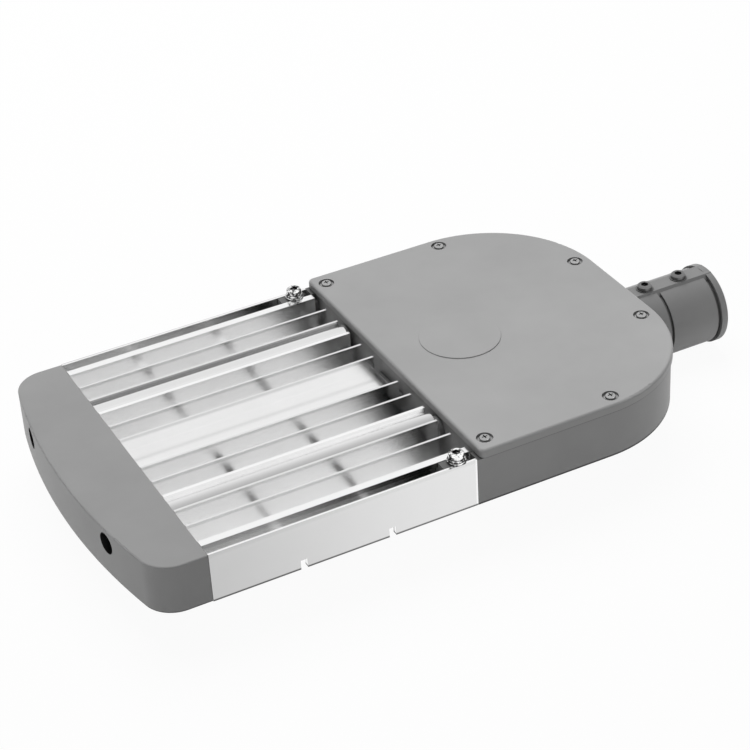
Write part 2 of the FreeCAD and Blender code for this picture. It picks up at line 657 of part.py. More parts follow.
def driver_housing():
    """The die-cast tray with its front wall, tongues and bosses."""
    shell = prism(housing_corners(HOUSING_FRONT, 0, FRONT_CORNER_RADIUS), 0, HOUSING_HEIGHT)
    extra = front_wall_parts()
    extra += both_sides(tongue())
    body = joined(shell, extra)
    cavity = prism(housing_corners(INSIDE_FRONT, HOUSING_WALL, FRONT_CORNER_RADIUS * 2),
                   HOUSING_FLOOR, HOUSING_HEIGHT + OVERCUT)
    body = body.cut(cavity)
    bosses = [post(x, y * side, HOUSING_FLOOR - OVERCUT, HOUSING_HEIGHT, COVER_BOSS_RADIUS)
              for x, y in COVER_SCREWS for side in (-1, 1)]
    bosses += [post(x, y, HOUSING_FLOOR - OVERCUT, top, radius)
               for x, y, top, radius, hole in standoffs()]
    body = joined(body, bosses)
    cuts = [seal_ring(HOUSING_HEIGHT - SEAL_GROOVE_DEPTH, HOUSING_HEIGHT + OVERCUT)]
    cuts += [post(x, y * side, HOUSING_HEIGHT - COVER_SCREW_REACH - OVERCUT,
                  HOUSING_HEIGHT + OVERCUT, M5_RADIUS + SCREW_GAP)
             for x, y in COVER_SCREWS for side in (-1, 1)]
    cuts += [post(x, y, HOUSING_FLOOR, top + OVERCUT, hole + SCREW_GAP)
             for x, y, top, radius, hole in standoffs()]
    cuts += both_sides(rod(0, INSIDE_FRONT + OVERCUT, PORT_Y, PORT_Z, M8_RADIUS + SLIDE_GAP))
    cuts += both_sides(post(CLAMP_X, CLAMP_Y, TONGUE_BOTTOM - OVERCUT, SECTION_HEIGHT,
                            M8_RADIUS + SCREW_GAP))
    cuts.append(rod(-TENON_LENGTH - OVERCUT, INSIDE_FRONT + OVERCUT, 0, LEAD_Z, DUCT_HOLE_RADIUS))
    cuts.append(cable_hole(HOUSING_REAR - 2 * HOUSING_WALL, HOUSING_REAR + OVERCUT))
    cuts += [post(x, y, -OVERCUT, HOUSING_FLOOR + OVERCUT, M6_RADIUS + SLIDE_GAP)
             for x, y in socket_screw_places()]
    return body.cut(cuts)


def seal_ring(z0, z1):
    """The band that the cover's seal follows round the housing's rim."""
    inner = SEAL_INSET + SEAL_GROOVE_WIDTH
    band = prism(housing_corners(HOUSING_FRONT + SEAL_INSET, SEAL_INSET, FRONT_CORNER_RADIUS * 3), z0, z1)
    hole = prism(housing_corners(HOUSING_FRONT + inner, inner, FRONT_CORNER_RADIUS), z0 - OVERCUT,
                 z1 + OVERCUT)
    return band.cut(hole)


def cover_gasket():
    """The soft seal between housing and cover."""
    return [seal_ring(HOUSING_HEIGHT - SEAL_GROOVE_DEPTH, COVER_BOTTOM)]


def driver_cover():
    """The flat cover with its skirt, bare raised disc and six sunk screw seats."""
    body = prism(housing_corners(COVER_FRONT, -COVER_OVERHANG, COVER_CORNER_RADIUS),
                 COVER_BOTTOM, COVER_TOP)
    rim = edges_where(body, lambda b: b.ZLength < TINY and b.ZMin > COVER_TOP - TINY)
    body = body.makeFillet(COVER_EDGE_ROUND, rim)
    hollow = prism(housing_corners(INSIDE_FRONT, HOUSING_WALL, FRONT_CORNER_RADIUS * 2),
                   COVER_BOTTOM - OVERCUT, COVER_TOP - COVER_PLATE)
    disc = post(DISC_X, 0, COVER_TOP - OVERCUT, COVER_TOP + DISC_HEIGHT, DISC_RADIUS)
    edge = edges_where(disc, lambda b: b.ZLength < TINY and b.ZMin > COVER_TOP)
    disc = disc.makeFillet(DISC_HEIGHT * 0.6, edge)
    posts = [post(x, y * side, COVER_BOTTOM, COVER_TOP - OVERCUT, COVER_BOSS_RADIUS)
             for x, y in COVER_SCREWS for side in (-1, 1)]
    body = joined(body.cut(hollow), posts + [disc])
    cuts = []
    for x, y in COVER_SCREWS:
        for side in (-1, 1):
            cuts.append(post(x, y * side, COVER_TOP - SCREW_RECESS_DEPTH, COVER_TOP + OVERCUT,
                             SCREW_RECESS_RADIUS))
            cuts.append(post(x, y * side, COVER_BOTTOM - OVERCUT, COVER_TOP, M5_RADIUS + SLIDE_GAP))
    return body.cut(cuts)


def cover_screws():
    """Six screws that hold the cover down."""
    seat = COVER_TOP - SCREW_RECESS_DEPTH + SEAL_RING
    reach = seat - HOUSING_HEIGHT + COVER_SCREW_REACH
    return [pan_screw(x, y * side, seat, M5_RADIUS, reach, M5_HEAD_RADIUS, M5_HEAD)
            for x, y in COVER_SCREWS for side in (-1, 1)]


def screw_seals():
    """A soft ring under the head of each cover screw."""
    z = COVER_TOP - SCREW_RECESS_DEPTH
    return [washer(x, y * side, z, SEAL_RING_RADIUS, M5_RADIUS + SCREW_GAP, SEAL_RING)
            for x, y in COVER_SCREWS for side in (-1, 1)]


def clamp_screws():
    """Two low head screws that clamp the tongues in the side slots."""
    seat = SECTION_HEIGHT + FLAT_WASHER + SPRING_WASHER
    return [socket_screw(V(CLAMP_X, y, seat), UP, M8_RADIUS, CLAMP_SCREW_REACH, M8_HEAD_RADIUS,
                         M8_LOW_HEAD, M8_KEY) for y in (-CLAMP_Y, CLAMP_Y)]


def clamp_washers():
    """A wide washer over each side slot."""
    return [washer(CLAMP_X, y, SECTION_HEIGHT, FLAT_WASHER_RADIUS, M8_RADIUS + SLIDE_GAP, FLAT_WASHER)
            for y in (-CLAMP_Y, CLAMP_Y)]


def spring_washers():
    """A split spring washer under each clamp screw's head."""
    rings = []
    for y in (-CLAMP_Y, CLAMP_Y):
        ring = washer(CLAMP_X, y, SECTION_HEIGHT + FLAT_WASHER, SPRING_WASHER_RADIUS,
                      M8_RADIUS + SCREW_GAP, SPRING_WASHER)
        split = box(CLAMP_X - SPRING_WASHER_RADIUS - OVERCUT, CLAMP_X, y - SLIDE_GAP, y + SLIDE_GAP,
                    SECTION_HEIGHT, SECTION_HEIGHT + FLAT_WASHER + SPRING_WASHER + OVERCUT)
        rings.append(ring.cut(split))
    return rings


def joint_screws():
    """Two screws from inside the housing into the heat sink's screw tubes."""
    return [socket_screw(V(INSIDE_FRONT, y, PORT_Z), ALONG_X, M8_RADIUS, CAP_SCREW_LENGTH,
                         M8_HEAD_RADIUS, M8_HEAD, M8_KEY) for y in (-PORT_Y, PORT_Y)]


def duct_seal():
    """The soft band round the tenon, which seals it in the wire duct."""
    x0 = -DUCT_SEAL_START
    x1 = x0 + DUCT_SEAL_WIDTH
    band = duct_block(x0, x1, 0)
    return band.cut(duct_block(x0 - OVERCUT, x1 + OVERCUT, TENON_GAP + DUCT_SEAL_DEPTH))


def grommet(x0, x1, z, hole, bore):
    """A soft bush with a flange on each face of the wall from x0 to x1."""
    body = rod(x0 - GROMMET_LIP, x1 + GROMMET_LIP, 0, z, hole - TINY)
    lips = [rod(x0 - GROMMET_LIP, x0, 0, z, hole + GROMMET_FLANGE),
            rod(x1, x1 + GROMMET_LIP, 0, z, hole + GROMMET_FLANGE)]
    body = joined(body, lips)
    return body.cut(rod(x0 - 2 * GROMMET_LIP, x1 + 2 * GROMMET_LIP, 0, z, bore))


def cable_grommet():
    """The bush that guides the supply cable out of the pole socket."""
    return [grommet(HOUSING_REAR - HOUSING_WALL, CABLE_WALL_END, CABLE_HOLE_Z, CABLE_HOLE_RADIUS,
                    GROMMET_BORE)]


def duct_grommet():
    """The bush that guides the lamp lead into the wire duct."""
    end = INSIDE_FRONT + GROMMET_LIP
    body = rod(-TENON_LENGTH, end, 0, LEAD_Z, DUCT_HOLE_RADIUS - TINY)
    lip = rod(INSIDE_FRONT, end, 0, LEAD_Z, DUCT_HOLE_RADIUS + GROMMET_FLANGE)
    bore = rod(-TENON_LENGTH - OVERCUT, end + OVERCUT, 0, LEAD_Z, LEAD_RADIUS + TINY)
    return [body.fuse(lip).removeSplitter().cut(bore)]


def pole_screws():
    """Two screws that lock the pole in the socket."""
    seat = SOCKET_AXIS_Z + SCREW_BOSS_TOP
    reach = SCREW_BOSS_TOP - SOCKET_BORE_RADIUS - JOINT_GAP
    return [socket_screw(V(HOUSING_REAR + dx, 0, seat), UP, M8_RADIUS, reach, M8_HEAD_RADIUS,
                         POLE_SCREW_HEAD, M8_KEY) for dx in POLE_SCREW_X]


def driver_plate():
    """The sheet that carries the driver above the housing's floor."""
    (x0, y), (x1, _) = PLATE_SCREWS
    m = PLATE_MARGIN
    sheet = prism([(x0 - m, -y - m, m / 2), (x1 + m, -y - m, m / 2),
                   (x1 + m, y + m, m / 2), (x0 - m, y + m, m / 2)], PLATE_BOTTOM, PLATE_TOP)
    holes = [post(x, side * y, PLATE_BOTTOM - OVERCUT, PLATE_TOP + OVERCUT, M4_RADIUS + SLIDE_GAP)
             for x in (x0, x1) for side in (-1, 1)]
    holes += [post(x, y, PLATE_BOTTOM - OVERCUT, PLATE_TOP + OVERCUT, M4_RADIUS + SCREW_GAP)
              for x, y in driver_screw_places()]
    return [sheet.cut(holes)]


def plate_screws():
    """Four screws that hold the plate to the housing."""
    return [pan_screw(x, y * side, PLATE_TOP, M4_RADIUS, PLATE_TOP - HOUSING_FLOOR - JOINT_GAP,
                      M4_HEAD_RADIUS, M4_HEAD) for x, y in PLATE_SCREWS for side in (-1, 1)]


def driver_screw_places():
    """Screw centres in the feet of the driver."""
    y = (DRIVER_LENGTH + DRIVER_FOOT) / 2
    return [(DRIVER_X + dx, side * y) for dx in (-DRIVER_SCREW_SPREAD, DRIVER_SCREW_SPREAD)
            for side in (-1, 1)]


def led_driver():
    """The sealed power supply, with a screwed foot at each end."""
    dx = DRIVER_WIDTH / 2
    dy = DRIVER_LENGTH / 2
    case = box(DRIVER_X - dx, DRIVER_X + dx, -dy, dy, PLATE_TOP, PLATE_TOP + DRIVER_HEIGHT)
    long_edges = edges_where(case, lambda b: b.YLength > DRIVER_LENGTH - TINY)
    case = case.makeFillet(DRIVER_EDGE_ROUND, long_edges)
    foot = DRIVER_FOOT
    feet = box(DRIVER_X - dx + foot / 2, DRIVER_X + dx - foot / 2, -dy - foot, dy + foot,
               PLATE_TOP, PLATE_TOP + DRIVER_FOOT_THICKNESS)
    holes = [post(x, y, PLATE_TOP - OVERCUT, PLATE_TOP + foot, M4_RADIUS + SLIDE_GAP)
             for x, y in driver_screw_places()]
    return [case.fuse(feet).removeSplitter().cut(holes)]


def driver_screws():
    """Four screws that hold the driver to its plate."""
    seat = PLATE_TOP + DRIVER_FOOT_THICKNESS
    reach = seat - PLATE_BOTTOM + STANDOFF - JOINT_GAP
    return [pan_screw(x, y, seat, M4_RADIUS, reach, M4_HEAD_RADIUS, M4_HEAD)
            for x, y in driver_screw_places()]


def terminal_block():
    """The block where the supply cable ends, with one screw way for each wire."""
    dx, dy, dz = BLOCK_SIZE
    z = PLATE_BOTTOM
    body = box(BLOCK_X - dx / 2, BLOCK_X + dx / 2, -dy / 2, dy / 2, z, z + dz)
    ear = box(BLOCK_X - STANDOFF_RADIUS, BLOCK_X + STANDOFF_RADIUS, -dy / 2 - 2 * STANDOFF_RADIUS,
              dy / 2 + 2 * STANDOFF_RADIUS, z, z + STANDOFF)
    body = body.fuse(ear).removeSplitter()
    cuts = [post(BLOCK_X, side * (dy / 2 + STANDOFF_RADIUS), z - OVERCUT, z + dz,
                 M3_RADIUS + SLIDE_GAP) for side in (-1, 1)]
    for i in range(BLOCK_WAYS):
        y = (i - (BLOCK_WAYS - 1) / 2) * dy / BLOCK_WAYS
        cuts.append(post(BLOCK_X, y, z + dz / 2, z + dz + OVERCUT, STANDOFF))
        cuts.append(rod(BLOCK_X, BLOCK_X + dx, y, z + dz / 2 - STANDOFF, STANDOFF))
    return [body.cut(cuts)]


def block_screws():
    """Two screws that hold the terminal block."""
    y = BLOCK_SIZE[1] / 2 + STANDOFF_RADIUS
    seat = PLATE_BOTTOM + STANDOFF
    return [pan_screw(BLOCK_X, side * y, seat, M3_RADIUS, seat - HOUSING_FLOOR - JOINT_GAP,
                      M3_HEAD_RADIUS, M3_HEAD) for side in (-1, 1)]


def surge_protector():
    """The sealed surge protector on the housing's floor."""
    dx, dy, dz = SURGE_SIZE
    x, y = SURGE_CENTRE
    body = box(x - dx / 2, x + dx / 2, y - dy / 2, y + dy / 2, HOUSING_FLOOR, HOUSING_FLOOR + dz)
    return [body.makeFillet(DRIVER_EDGE_ROUND, edges_where(body, lambda b: b.ZLength > dz - TINY))]


def cord_grip():
    """The saddle that holds the supply cable inside the housing."""
    dx, dy, dz = GRIP_SIZE
    z = CABLE_HOLE_Z - M4_RADIUS
    bar = box(GRIP_X - dx / 2, GRIP_X + dx / 2, -dy / 2, dy / 2, z, z + dz)
    arch = rod(GRIP_X - dx / 2, GRIP_X + dx / 2, 0, z, GRIP_ARCH + dz)
    arch = arch.common(box(GRIP_X - dx, GRIP_X + dx, -dy, dy, z, z + dy))
    tunnel = rod(GRIP_X - dx, GRIP_X + dx, 0, z, GRIP_ARCH)
    y = dy / 2 - STANDOFF_RADIUS
    holes = [post(GRIP_X, side * y, z - OVERCUT, z + dy, M3_RADIUS + SLIDE_GAP) for side in (-1, 1)]
    return [bar.fuse(arch).removeSplitter().cut([tunnel] + holes)]


def grip_screws():
    """Two screws that tighten the cord grip."""
    dx, dy, dz = GRIP_SIZE
    seat = CABLE_HOLE_Z - M4_RADIUS + dz
    return [pan_screw(GRIP_X, side * (dy / 2 - STANDOFF_RADIUS), seat, M3_RADIUS,
                      seat - HOUSING_FLOOR - JOINT_GAP, M3_HEAD_RADIUS, M3_HEAD) for side in (-1, 1)]


def earth_screw():
    """The earth terminal's screw."""
    return [pan_screw(*EARTH_CENTRE, PLATE_BOTTOM, M4_RADIUS, STANDOFF - JOINT_GAP, M4_HEAD_RADIUS,
                      M4_HEAD)]


def rounded_route(points, radius):
    """A path of straight runs joined by tangent arcs."""
    edges = []
    start = points[0]
    for before, here, after in zip(points, points[1:], points[2:]):
        back = (before - here).normalize()
        ahead = (after - here).normalize()
        half_angle = back.getAngle(ahead) / 2
        reach = radius / math.tan(half_angle)
        middle = here + (back + ahead).normalize() * (radius / math.sin(half_angle) - radius)
        edges.append(Part.LineSegment(start, here + back * reach).toShape())
        edges.append(Part.Arc(here + back * reach, middle, here + ahead * reach).toShape())
        start = here + ahead * reach
    edges.append(Part.LineSegment(start, points[-1]).toShape())
    return Part.Wire(edges)


def lead(places, radius):
    """A round sheathed lead that runs level through (x, y) places."""
    points = [V(x, y, LEAD_Z) for x, y in places]
    route = rounded_route(points, radius)
    ahead = (points[1] - points[0]).normalize()
    section = Part.Wire(Part.Circle(points[0], ahead, LEAD_RADIUS).toShape())
    return [route.makePipeShell([section], True, False)]


def lamp_lead():
    """The lead from the driver through the duct to the boards."""
    y = -DRIVER_LENGTH / 2
    out = y - DRIVER_FOOT - LEAD_CLEAR
    end = MODULE_X[-1] - PLUG_BLOCK[0] / 2
    return lead([(DRIVER_X, y), (DRIVER_X, out), (LEAD_COLUMN, out), (LEAD_COLUMN, 0), (end, 0)],
                LEAD_BEND)


def supply_lead():
    """The lead from the terminal block to the driver."""
    y = DRIVER_LENGTH / 2
    out = y + DRIVER_FOOT + LEAD_CLEAR
    column = DRIVER_X + DRIVER_WIDTH / 2 + LEAD_CLEAR
    return lead([(BLOCK_X - BLOCK_SIZE[0] / 2, 0), (column, 0), (column, out), (DRIVER_X, out),
                 (DRIVER_X, y)], LEAD_BEND)


def surge_lead():
    """The lead from the surge protector to the terminal block."""
    x, y = SURGE_CENTRE
    return lead([(x + SURGE_SIZE[0] / 2, y), (BLOCK_X, y), (BLOCK_X, BLOCK_SIZE[1] / 2)],
                SURGE_LEAD_BEND)


def all_pieces():
    """Every piece by name, each as a list of solids."""
    pieces = {
        "heat_sink": [heat_sink()],
        "end_cap": [end_cap()],
        "end_cap_screws": end_cap_screws(),
        "duct_plug": duct_plug(),
        "module_screws": module_screws(),
        "board_plugs": board_plugs(),
        "driver_housing": [driver_housing()],
        "driver_cover": [driver_cover()],
        "socket_casting": [socket_casting()],
        "socket_seal": socket_seal(),
        "socket_screws": socket_screws(),
        "cover_gasket": cover_gasket(),
        "cover_screws": cover_screws(),
        "screw_seals": screw_seals(),
        "clamp_screws": clamp_screws(),
        "clamp_washers": clamp_washers(),
        "spring_washers": spring_washers(),
        "joint_screws": joint_screws(),
        "duct_seal": [duct_seal()],
        "duct_grommet": duct_grommet(),
        "cable_grommet": cable_grommet(),
        "pole_screws": pole_screws(),
        "driver_plate": driver_plate(),
        "plate_screws": plate_screws(),
        "led_driver": led_driver(),
        "driver_screws": driver_screws(),
        "terminal_block": terminal_block(),
        "block_screws": block_screws(),
        "surge_protector": surge_protector(),
        "cord_grip": cord_grip(),
        "grip_screws": grip_screws(),
        "earth_screw": earth_screw(),
        "lamp_lead": lamp_lead(),
        "supply_lead": supply_lead(),
        "surge_lead": surge_lead(),
    }
    for i, x in enumerate(MODULE_X, start=1):
        pieces["led_board_%d" % i] = [led_board(x)]
        pieces["led_chips_%d" % i] = led_chips(x)
        pieces["lens_panel_%d" % i] = [lens_panel(x)]
        pieces["lens_gasket_%d" % i] = [lens_gasket(x)]
    return pieces


def main():
    """Write each piece in the frame of the pole socket's mouth."""
    os.makedirs("parts", exist_ok=True)
    shift = V(-MOUTH, 0, -SOCKET_AXIS_Z)
    for name, solids in all_pieces().items():
        shape = solids[0] if len(solids) == 1 else Part.makeCompound(solids)
        shape = shape.translated(shift)
        shape.exportStep("parts/%s.step" % name)


main()
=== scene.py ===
"""The look of the LED street light head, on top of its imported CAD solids."""

import json
import math

import bmesh
import bpy
from mathutils import Matrix, Vector


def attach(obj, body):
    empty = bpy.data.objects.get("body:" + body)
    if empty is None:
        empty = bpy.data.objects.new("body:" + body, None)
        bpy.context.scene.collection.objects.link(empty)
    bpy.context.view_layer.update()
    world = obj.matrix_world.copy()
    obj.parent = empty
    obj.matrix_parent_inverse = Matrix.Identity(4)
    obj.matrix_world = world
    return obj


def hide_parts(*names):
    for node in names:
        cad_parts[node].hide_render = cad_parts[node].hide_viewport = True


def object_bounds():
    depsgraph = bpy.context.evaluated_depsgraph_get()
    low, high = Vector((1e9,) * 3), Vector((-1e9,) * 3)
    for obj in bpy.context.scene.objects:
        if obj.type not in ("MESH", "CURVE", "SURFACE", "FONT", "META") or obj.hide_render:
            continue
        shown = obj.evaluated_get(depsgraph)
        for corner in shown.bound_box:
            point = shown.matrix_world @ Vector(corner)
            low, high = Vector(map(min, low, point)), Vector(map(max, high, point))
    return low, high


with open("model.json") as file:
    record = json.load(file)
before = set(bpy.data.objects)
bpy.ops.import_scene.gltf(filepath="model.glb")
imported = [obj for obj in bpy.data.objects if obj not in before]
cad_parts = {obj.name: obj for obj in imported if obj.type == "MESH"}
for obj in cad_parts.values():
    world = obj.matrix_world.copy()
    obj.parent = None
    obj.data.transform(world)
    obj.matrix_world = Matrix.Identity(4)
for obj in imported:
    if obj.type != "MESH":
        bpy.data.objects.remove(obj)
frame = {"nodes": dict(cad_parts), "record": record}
cad_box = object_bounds()
NODES = frame["nodes"]
SLOT_OF = {row["node"]: row["material_slot"] for row in frame["record"]["subparts"]}
MM = 0.001


def mm(*values):
    """Lengths in millimetres as metres."""
    return tuple(value * MM for value in values)


# Sizes of the head that the painted shade and painted light in the materials follow

FIN_TOP = 42.5 * MM
COVER_JOINT = 42.2 * MM
FOOT = -2.0 * MM
SINK_END = -326.7 * MM
HOLE_Y, HOLE_Z, HOLE_RADIUS = mm(82.85, 29.0, 9.1)

# Where a mask rises from 0 and where it falls back to 0, or where it changes

COVER_JOINT_FADES = (COVER_JOINT - 0.7 * MM, COVER_JOINT - 0.3 * MM), \
    (COVER_JOINT + 0.3 * MM, COVER_JOINT + 0.7 * MM)
FOOT_FADES = (FOOT + 0.02 * MM, FOOT + 0.1 * MM), (FOOT + 1.0 * MM, FOOT + 2.2 * MM)
HOLE_FADE = HOLE_RADIUS + 0.1 * MM, HOLE_RADIUS + 0.4 * MM
COVER_LIGHT_SPAN = mm(-140.0, 140.0)
SOCKET_TOP_SHADE_SPAN = mm(4.0, 35.0)
NEAR_GROOVE = mm(-90.0, -88.5), mm(-88.5, -77.0)
FAR_GROOVE_INSIDE = mm(68.0, 69.0), mm(69.0, 74.0)
FAR_GROOVE_OUTSIDE = mm(79.0, 88.5), mm(88.5, 90.0)
GROOVE_HEIGHT = mm(30.0, 33.0), (FIN_TOP - 0.4 * MM, FIN_TOP - 0.2 * MM)
STOUT_FIN = mm(65.2, 65.5), mm(68.9, 69.2)
SIDE_WALL = mm(134.0, 135.0)
FIN_TOP_FADE = FIN_TOP - 4.0 * MM, FIN_TOP - 1.0 * MM
CLAMP_SLOT = mm(141.3, 141.5), mm(152.3, 152.5)
SLOT_ALONG = mm(-500.0, -360.0)
SLOT_SIDES = mm(-10.0, 10.0)
SLOT_TOP = FIN_TOP - 0.8 * MM, FIN_TOP - 0.4 * MM
DUCT_SIDE = mm(21.1, 21.3)
DUCT_TOP = mm(29.0, 29.5)
OUTER_FACE = mm(154.0, 154.5)
OUTER_ALONG = mm(-600.0, -330.0)
# Where the painted highlight line on the outer walls lies, at the housing end
END_HIGHLIGHT_LINE = SINK_END - 1.8 * MM, SINK_END - 1.2 * MM

# Grain: the scale of each noise texture, and the depth of its bump

SPECK_SCALE, SPECK_DEPTH = 900.0, 0.08 * MM
LINE_SCALE, LINE_DEPTH = 700.0, 0.04 * MM
GRAIN_SCALE, GRAIN_DEPTH = 1400.0, 0.05 * MM
WAVE_SCALE, WAVE_DEPTH = 35.0, 0.1 * MM
PAINT_CLOUD, METAL_CLOUD, PLASTIC_CLOUD = 14.0, 22.0, 60.0
# The reach of the painted crevice shade in grooves and corners
GROOVE_REACH, CORNER_REACH = mm(3.0, 30.0)
EVEN = (1, 1, 1)
ALONG_X = (0.02, 1, 1)
UPRIGHT = (1, 1, 0.3)

# Edges

SHARP_ANGLE = 32
FLAT_ANGLE = 1.0
MERGE_DISTANCE = 2e-6
EDGE_SEGMENTS = 2
FLAT_WEIGHT = 100

# Studio

FLOOR_SIZE = 40
FLOOR_X = -0.3
FLOOR_GAP = 0.5 * MM
FLOOR_COLOUR = (0.72, 0.72, 0.72, 1)
FLOOR_GLOW = 0.95
SHADOW_CENTRE = (-0.36, 0.01)
SHADOW_REACH = (0.22, 0.11)
SHADOW_FADE = (0.7, 1.05)
WHITE = (1, 1, 1, 1)
AMBIENT = 0.2
GLOSSY_BOUNCES = 10
LAMP_AIM = Vector((-0.33, 0, 0))
# Each lamp: name, place, size, power in watts, shown in mirror surfaces
LAMPS = (
    ("overhead_lamp", (-0.15, 1.2, 2.3), (2.2, 2.2), 80, False),
    ("low_front_lamp", (-1.5, -0.25, 0.0), (1.6, 0.06), 1.5, True),
    ("side_fill_lamp", (0.9, -1.9, 0.5), (1.2, 1.2), 3.6, True),
)
CAMERA_PLACE = Vector((-1.0093, -1.3937, 1.0624))
CAMERA_ANGLES = (-25.756, 33.464, -3.570)
SENSOR_WIDTH = 36.0
FOCAL_LENGTH = 105.549
CLIP_RANGE = (0.05, 60.0)


# Node helpers


def new_material(name):
    """An empty node material with its output node."""
    material = bpy.data.materials.new(name)
    material.use_nodes = True
    tree = material.node_tree
    tree.nodes.clear()
    output = tree.nodes.new("ShaderNodeOutputMaterial")
    return material, tree, output


def add(tree, kind, **values):
    """A node with its properties and socket values set."""
    node = tree.nodes.new(kind)
    for key, value in values.items():
        if key in node.inputs:
            node.inputs[key].default_value = value
        else:
            setattr(node, key, value)
    return node


def object_place(tree, scale=EVEN):
    """Object coordinates, stretched by a scale for each axis."""
    place = tree.nodes.new("ShaderNodeTexCoord")
    mapping = add(tree, "ShaderNodeMapping", Scale=scale)
    tree.links.new(place.outputs["Object"], mapping.inputs["Vector"])
    return mapping.outputs["Vector"]


def object_axes(tree):
    """The object coordinates X, Y and Z."""
    place = tree.nodes.new("ShaderNodeTexCoord")
    parts = tree.nodes.new("ShaderNodeSeparateXYZ")
    tree.links.new(place.outputs["Object"], parts.inputs[0])
    return parts.outputs[0], parts.outputs[1], parts.outputs[2]


def noise(tree, vector, scale, detail=3.0):
    """A noise texture's value."""
    node = add(tree, "ShaderNodeTexNoise", Scale=scale, Detail=detail, Roughness=0.6)
    tree.links.new(vector, node.inputs["Vector"])
    return node.outputs["Fac"]


def ramp(tree, value, stops):
    """A colour ramp through (position, colour) stops."""
    node = tree.nodes.new("ShaderNodeValToRGB")
    band = node.color_ramp
    while len(band.elements) < len(stops):
        band.elements.new(0.5)
    for element, (position, colour) in zip(band.elements, stops):
        element.position = position
        element.color = (*colour, 1.0)
    tree.links.new(value, node.inputs["Fac"])
    return node.outputs["Color"]


def spread(tree, value, low, high, start=0.0, end=1.0):
    """A value between start and end, mapped between two other numbers."""
    node = add(tree, "ShaderNodeMapRange",
               **{"From Min": start, "From Max": end, "To Min": low, "To Max": high})
    tree.links.new(value, node.inputs["Value"])
    return node.outputs["Result"]


def step_up(tree, value, start, end, low, high):
    """A value that goes smoothly from low to high between two positions."""
    result = spread(tree, value, low, high, start, end)
    result.node.interpolation_type = "SMOOTHSTEP"
    return result


def math_node(tree, operation, *values):
    """The result of a Math node on values and sockets."""
    node = add(tree, "ShaderNodeMath", operation=operation)
    for socket, value in zip(node.inputs, values):
        if isinstance(value, (int, float)):
            socket.default_value = value
        else:
            tree.links.new(value, socket)
    return node.outputs[0]


def product(tree, first, *others):
    """Values and sockets multiplied together."""
    for value in others:
        first = math_node(tree, "MULTIPLY", first, value)
    return first


def band(tree, value, rise, fall, height=1.0):
    """A height between a rise and a fall, and 0 outside them."""
    return product(tree, step_up(tree, value, *rise, 0.0, height),
                   step_up(tree, value, *fall, 1.0, 0.0))


def dark_line(tree, value, fall, rise, level):
    """A level between a fall and a rise, and 1 outside them."""
    return math_node(tree, "MAXIMUM", step_up(tree, value, *fall, 1.0, level),
                     step_up(tree, value, *rise, level, 1.0))


def scaled(tree, colour, level):
    """A colour times a value."""
    node = add(tree, "ShaderNodeVectorMath", operation="SCALE")
    tree.links.new(colour, node.inputs[0])
    tree.links.new(level, node.inputs["Scale"])
    return node.outputs[0]


def darkened(tree, colour, share):
    """A colour with a share from 0 to 1 taken off."""
    return scaled(tree, colour, math_node(tree, "SUBTRACT", 1.0, share))


def bump(tree, height, strength, distance):
    """A bump from a height."""
    node = add(tree, "ShaderNodeBump", Strength=strength, Distance=distance)
    tree.links.new(height, node.inputs["Height"])
    return node.outputs["Normal"]


def with_crevice_shade(tree, colour, reach, darkest):
    """A colour that darkens in joints, grooves and corners: painted shade from ambient occlusion.
    """
    open_share = add(tree, "ShaderNodeAmbientOcclusion", Distance=reach, samples=6)
    return scaled(tree, colour, spread(tree, open_share.outputs["AO"], darkest, 1.0, 0.15, 0.85))


def surface(tree, output, colour, roughness, normal, **constants):
    """A Principled surface from its colour, roughness and normal."""
    shader = add(tree, "ShaderNodeBsdfPrincipled", **constants)
    for socket, value in (("Base Color", colour), ("Roughness", roughness), ("Normal", normal)):
        tree.links.new(value, shader.inputs[socket])
    tree.links.new(shader.outputs["BSDF"], output.inputs["Surface"])


def grey(level):
    """A neutral colour from an sRGB level of 0 to 255."""
    value = level / 255
    linear = value / 12.92 if value <= 0.04045 else ((value + 0.055) / 1.055) ** 2.4
    return (linear, linear, linear)


# Painted shade and painted light on the castings


def foot_shade_line(tree, z):
    """Painted shade along the bottom edge of a casting or of the extrusion."""
    return dark_line(tree, z, *FOOT_FADES, 0.2)


def cover_shade(tree):
    """Painted shade in the joint where the cover meets the housing, and along the housing's foot.
    """
    z = object_axes(tree)[2]
    return product(tree, dark_line(tree, z, *COVER_JOINT_FADES, 0.35), foot_shade_line(tree, z))


def cover_painted_light(tree):
    """The cover's painted shade, and painted light that makes it a little paler towards -Y and
    darker towards +Y.
    """
    across = object_axes(tree)[1]
    return product(tree, cover_shade(tree), step_up(tree, across, *COVER_LIGHT_SPAN, 1.06, 0.92))


def cap_hole_shade(tree):
    """Painted shade inside the two deep screw holes of the end cap, and along its foot."""
    _, y, z = object_axes(tree)
    across = math_node(tree, "SUBTRACT", math_node(tree, "ABSOLUTE", y), HOLE_Y)
    height = math_node(tree, "SUBTRACT", z, HOLE_Z)
    square = math_node(tree, "ADD", product(tree, across, across), product(tree, height, height))
    hole = step_up(tree, math_node(tree, "SQRT", square), *HOLE_FADE, 0.03, 1.0)
    return product(tree, hole, foot_shade_line(tree, z))


def socket_top_shade(tree):
    """Painted shade: darker towards the top of the pole socket."""
    return step_up(tree, object_axes(tree)[2], *SOCKET_TOP_SHADE_SPAN, 1.0, 0.70)


# Materials


